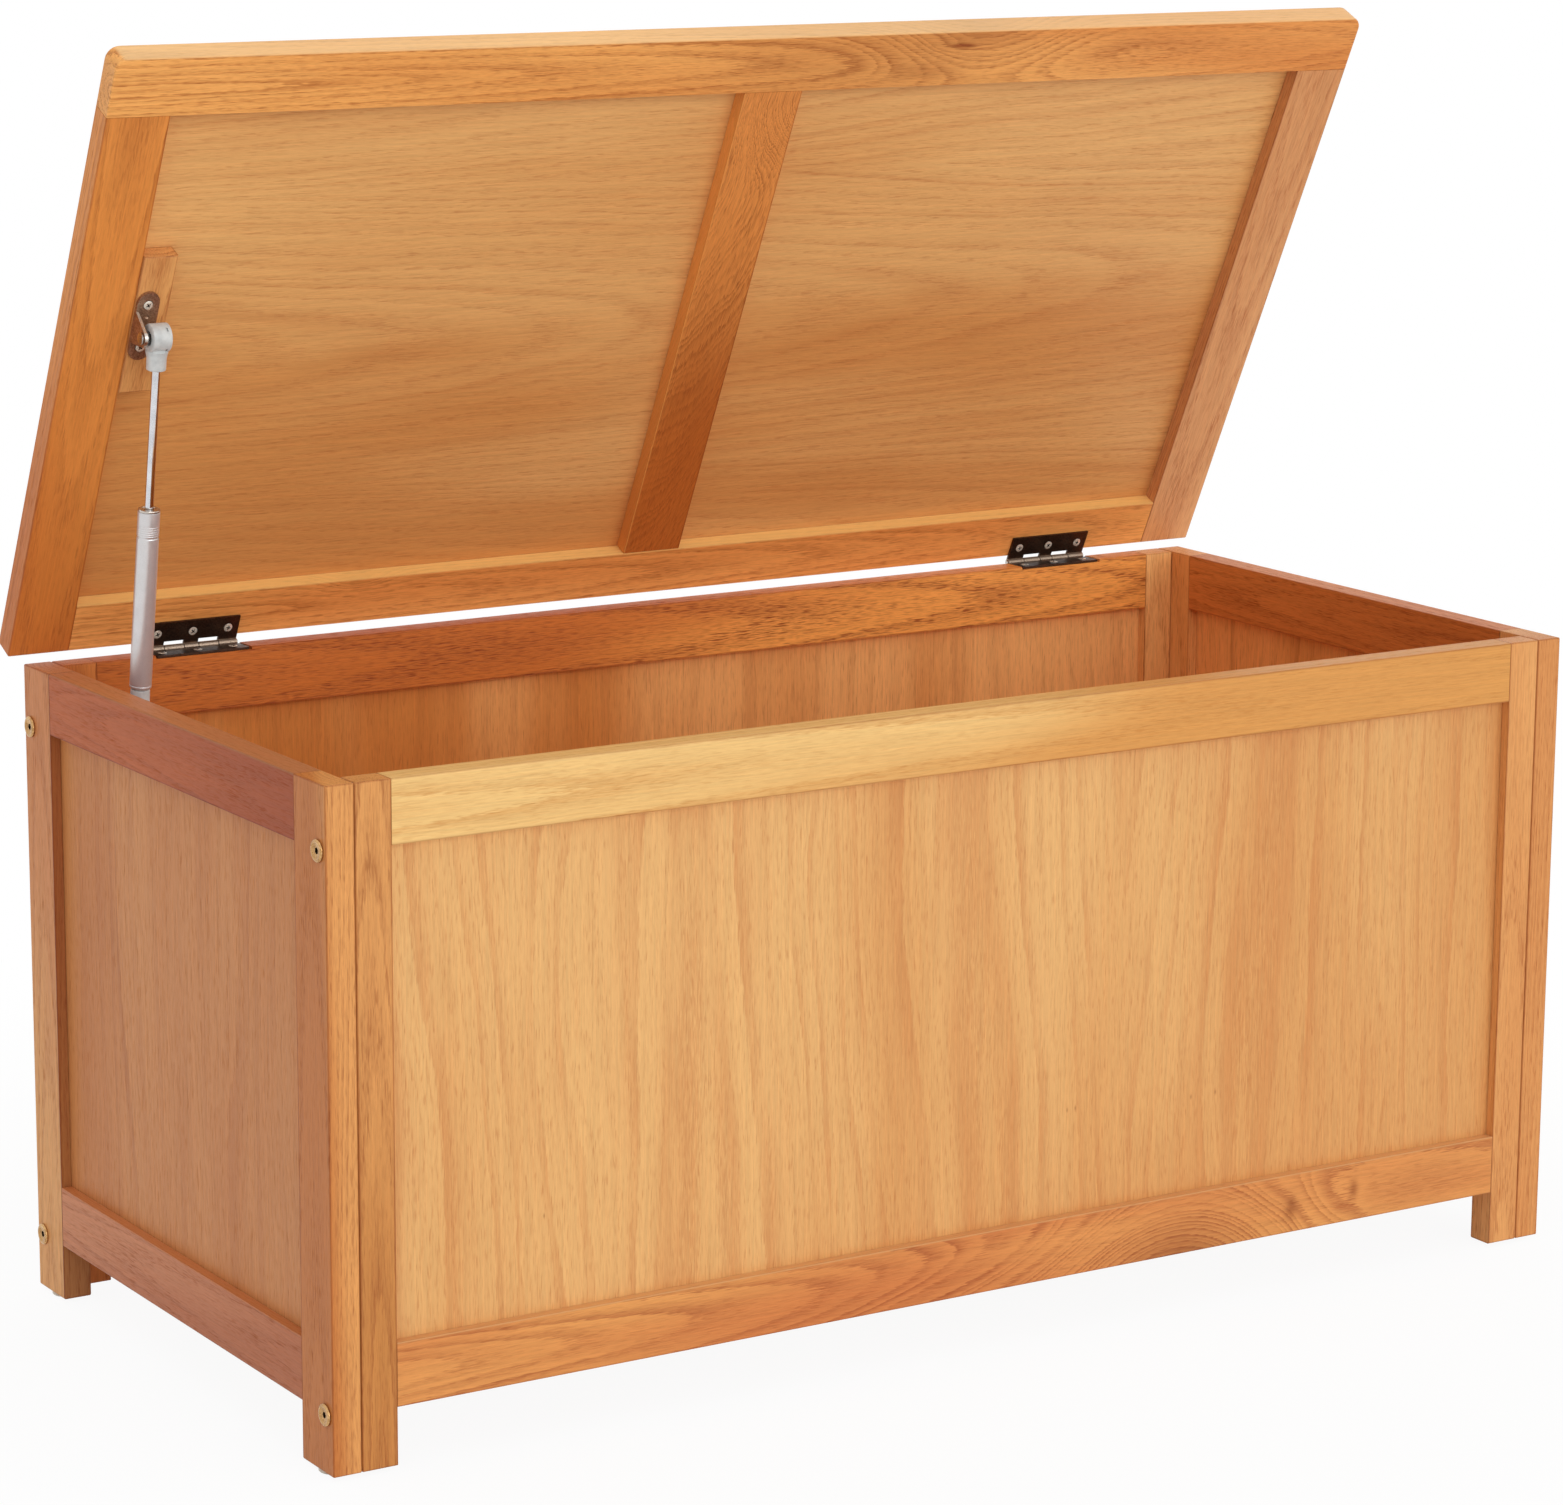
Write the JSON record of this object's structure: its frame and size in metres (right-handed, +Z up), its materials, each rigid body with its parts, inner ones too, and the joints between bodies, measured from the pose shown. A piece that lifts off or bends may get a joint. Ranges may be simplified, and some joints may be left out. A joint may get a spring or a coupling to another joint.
{
  "type": "storage box",
  "caption": "Rectangular oak storage box with frame and panel sides on short legs, and a framed lid that butt hinges carry and a gas strut holds open.",
  "frame": {"origin": "on the floor, at the middle of the overall box of the open part", "axes": "+X along the box to the right as seen from the front, +Y toward the back, +Z up; the front faces -Y"},
  "size_m": [1, 0.4737, 0.8757],
  "materials": {
    "oak": "satin lacquer",
    "oak_pale": "satin lacquer",
    "oak_veneer": "satin lacquer",
    "bronzed_steel": "dark bronze",
    "pin_nickel": "worn nickel plate",
    "rod_chrome": "hard chrome",
    "tube_steel": "silver paint",
    "bolt_brass": "brass plated",
    "socket_plastic": "matt",
    "glide_plastic": "matt"
  },
  "bodies": {
    "case": {"left_front_leg": "oak", "left_rear_leg": "oak", "left_top_rail": "oak", "left_bottom_rail": "oak", "left_panel": "oak_veneer", "right_front_leg": "oak", "right_rear_leg": "oak", "right_top_rail": "oak", "right_bottom_rail": "oak", "right_panel": "oak_veneer", "front_left_stile": "oak", "front_right_stile": "oak", "front_top_rail": "oak_pale", "front_bottom_rail": "oak", "front_panel": "oak_veneer", "back_left_stile": "oak", "back_right_stile": "oak", "back_top_rail": "oak", "back_bottom_rail": "oak", "back_panel": "oak_veneer", "bottom_board": "oak_veneer", "glide_left_front": "glide_plastic", "glide_left_rear": "glide_plastic", "glide_right_front": "glide_plastic", "glide_right_rear": "glide_plastic", "bolt_left_front_upper": "bolt_brass", "bolt_left_front_lower": "bolt_brass", "bolt_left_rear_upper": "bolt_brass", "bolt_left_rear_lower": "bolt_brass", "bolt_right_front_upper": "bolt_brass", "bolt_right_front_lower": "bolt_brass", "bolt_right_rear_upper": "bolt_brass", "bolt_right_rear_lower": "bolt_brass", "hinge_left_box_leaf": "bronzed_steel", "hinge_left_pin": "pin_nickel", "hinge_right_box_leaf": "bronzed_steel", "hinge_right_pin": "pin_nickel", "strut_box_bracket": "bronzed_steel"},
    "lid": {"lid_front_rail": "oak", "lid_rear_rail": "oak", "lid_left_stile": "oak", "lid_right_stile": "oak", "lid_mullion": "oak", "lid_left_panel": "oak_veneer", "lid_right_panel": "oak_veneer", "hinge_left_lid_leaf": "bronzed_steel", "hinge_right_lid_leaf": "bronzed_steel", "strut_block": "oak", "strut_lid_bracket": "bronzed_steel", "strut_upper_stud": "rod_chrome"},
    "strut_upper": {"strut_upper_socket": "socket_plastic", "strut_rod": "rod_chrome", "strut_piston": "tube_steel"},
    "strut_lower": {"strut_tube": "tube_steel", "strut_guide": "tube_steel", "strut_lower_socket": "socket_plastic", "strut_lower_stud": "rod_chrome"}
  },
  "joints": [
    {"name": "lid_hinge", "type": "hinge", "parent": "case", "child": "lid", "pos_m": [0, 0.22071, 0.446], "axis": [1, 0, 0], "range_deg": [0, 64.25]},
    {"name": "strut_swing", "type": "hinge", "parent": "lid", "child": "strut_upper", "pos_m": [-0.4435, 0.09086, 0.68091], "axis": [1, 0, 0], "range_deg": [0, 12.35]},
    {"name": "strut_stroke", "type": "slide", "parent": "strut_upper", "child": "strut_lower", "axis": [0, -0.1592, 0.9872], "range_m": [0, 0.08552]}
  ],
  "couplings": [
    {"joint": "strut_swing", "follows": "lid_hinge", "ratio": 0.19214},
    {"joint": "strut_stroke", "follows": "lid_hinge", "m_per_rad": 0.076263}
  ]
}
